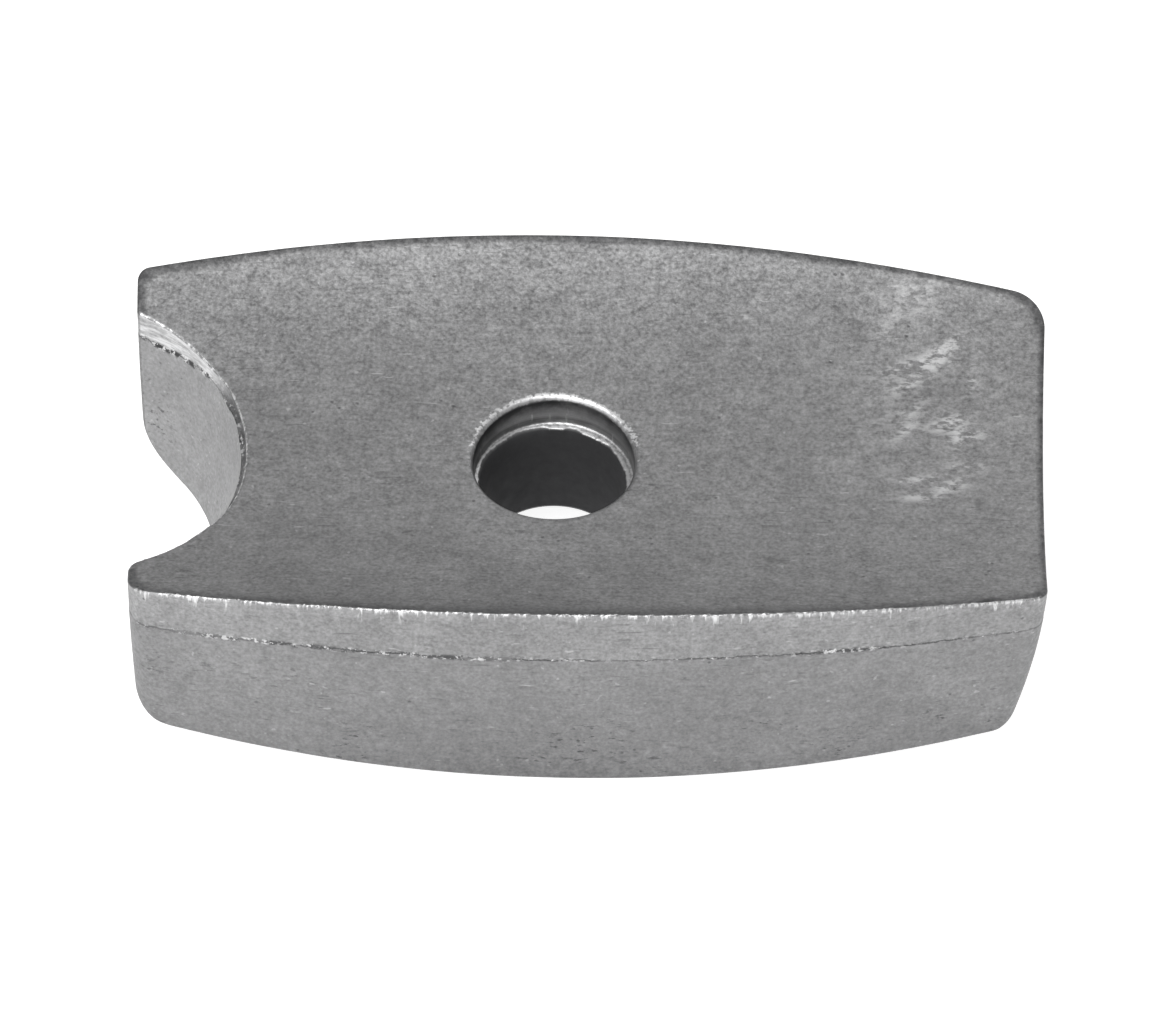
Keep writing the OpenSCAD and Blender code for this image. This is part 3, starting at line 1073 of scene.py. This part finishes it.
class CLIP_OT_raise_burrs(bpy.types.Operator):
    """Raise the burrs of the trimmed edges and the broken flash along the parting line"""

    bl_idname = "clip.raise_burrs"
    bl_label = "Raise burrs"

    def execute(self, context):
        s = context.scene.clip_sizes
        plate = Plate(s)
        top_z, seam_z = plate.top_edge(), np.full(plate.n, PARTING_Z)
        front, notch = plate.burred_front(), plate.columns_of("notch")
        notch_inset = 0.12 + plate.trimmed(plate.outline(top_z)[0]) / MM
        flash_front = plate.columns_of("notched_front", "front", "plain_front")
        flash_back = plate.columns_of("plain_back", "back", "notched_back")
        # for each line its inset and drop, then the sizes of its burr, all in mm, its breaks and its seed
        flash = (0.13, 0.0, 0.16, 0.11, 0.8, 0.3)
        for name, columns, z, sizes, breaks, seed in (
            ("front_edge_burr", front, top_z, (0.18, 0.18, 0.13, 0.11, 0.5, 0.17), 0.4, s.seed),
            ("notch_edge_burr", notch, top_z, (notch_inset, 0.12, 0.13, 0.06, 1.2, 0.07), 0.25, s.seed),
            ("front_flash", flash_front, seam_z, flash, 0.46, s.seed + 3),
            ("back_flash", flash_back, seam_z, flash, 0.5, s.seed + 3),
            ("notch_flash", notch, seam_z, flash, 0.36, s.seed + 3),
        ):
            inset, drop, *sizes = (size * MM for size in sizes)
            values = dict(zip(("Spacing", "Thickness", "Tooth Size", "Raggedness"), sizes))
            values.update(Breaks=breaks, Seed=float(seed))
            raise_burr(context, name, edge_line(plate, columns, z, inset, drop), values)
        return {"FINISHED"}


# ---------------- studio


# The floor is a pale panel that is also lit a little from below
FLOOR_GLOW, AIR_GLOW = 0.85, 0.32
WHITE = (1, 1, 1, 1)


class CLIP_OT_lay_stage(bpy.types.Operator):
    """Set the floor, the lights and the camera"""

    bl_idname = "clip.lay_stage"
    bl_label = "Lay stage"

    def execute(self, context):
        size = 3.0
        corners = [(x * size, y * size, LOW[2]) for x, y in ((-1, -1), (1, -1), (1, 1), (-1, 1))]
        floor = mesh_object("studio_floor", corners, [(0, 1, 2, 3)])
        paint, _, shader, _ = new_material("floor_paint", 0.0)
        for key, value in (
            ("Base Color", rgba(context.scene.clip_colours.floor)),
            ("Roughness", 0.9),
            ("Emission Color", WHITE),
            ("Emission Strength", FLOOR_GLOW),
        ):
            shader.inputs[key].default_value = value
        floor.data.materials.append(paint)

        world = bpy.data.worlds.new("studio_air")
        world.use_nodes = True
        air = world.node_tree.nodes["Background"].inputs
        air[0].default_value, air[1].default_value = WHITE, AIR_GLOW
        context.scene.world = world
        for name, place, side, watts in (
            ("key_light", (-0.18, -0.33, 0.72), 0.6, 6.0),
            ("front_light", (-0.3, -0.8, 0.35), 0.5, 2.0),
            ("back_light", (0.25, 0.6, 0.5), 0.6, 1.45),
        ):
            lamp = bpy.data.lights.new(name, "AREA")
            lamp.size = side
            lamp.energy = watts
            stand = new_object(name, lamp)
            stand.location = place
            stand.rotation_euler = (-Vector(place)).to_track_quat("-Z", "Y").to_euler()
        aim_camera(context)
        return {"FINISHED"}


# The camera stands far off with a long lens, so that the plate's edges stay nearly parallel
CAMERA_AWAY = 1.12925
LENS_MM, SENSOR_MM, SHIFT_Y = 382.65, 36.0, -0.0329
CAMERA_DOWN, CAMERA_ASIDE, CAMERA_ROLL = math.radians(47.45), math.radians(-0.78), math.radians(0.37)


def aim_camera(context):
    """A long lens, looking down at the front side from just left of square."""
    aim = Vector(((LOW[0] + HIGH[0]) / 2, 0.0, PARTING_Z))
    level = math.cos(CAMERA_DOWN)
    back = Vector((-math.sin(CAMERA_ASIDE) * level, -math.cos(CAMERA_ASIDE) * level, math.sin(CAMERA_DOWN)))
    turn = back.to_track_quat("Z", "Y").to_matrix() @ Matrix.Rotation(CAMERA_ROLL, 3, "Z")
    lens = bpy.data.cameras.new("studio_camera")
    lens.sensor_width = SENSOR_MM
    lens.lens = LENS_MM
    lens.shift_y = SHIFT_Y
    lens.clip_end = 20.0
    camera = new_object("studio_camera", lens)
    camera.matrix_world = Matrix.Translation(aim + back * CAMERA_AWAY) @ turn.to_4x4()
    context.scene.camera = camera
    context.scene.view_settings.view_transform = "Standard"


class CLIP_PT_panel(bpy.types.Panel):
    """Sidebar panel of the rope clip plate"""

    bl_label = "Rope clip plate"
    bl_space_type = "VIEW_3D"
    bl_region_type = "UI"
    bl_category = "Rope clip"

    def draw(self, context):
        for step in STEPS:
            self.layout.operator(step.bl_idname)
        for group in (context.scene.clip_sizes, context.scene.clip_colours):
            for key in group.__annotations__:
                self.layout.prop(group, key)


STEPS = (CLIP_OT_forge_plate, CLIP_OT_raise_burrs, CLIP_OT_lay_stage)
CLASSES = (PlateSizes, PlateColours, *STEPS, CLIP_PT_panel)


def register():
    for kind in CLASSES:
        bpy.utils.register_class(kind)
    bpy.types.Scene.clip_sizes = PointerProperty(type=PlateSizes)
    bpy.types.Scene.clip_colours = PointerProperty(type=PlateColours)


def unregister():
    del bpy.types.Scene.clip_sizes
    del bpy.types.Scene.clip_colours
    for kind in reversed(CLASSES):
        bpy.utils.unregister_class(kind)


def main():
    register()
    bpy.ops.clip.forge_plate()
    bpy.ops.clip.raise_burrs()
    bpy.ops.clip.lay_stage()


if __name__ == "__main__":
    main()
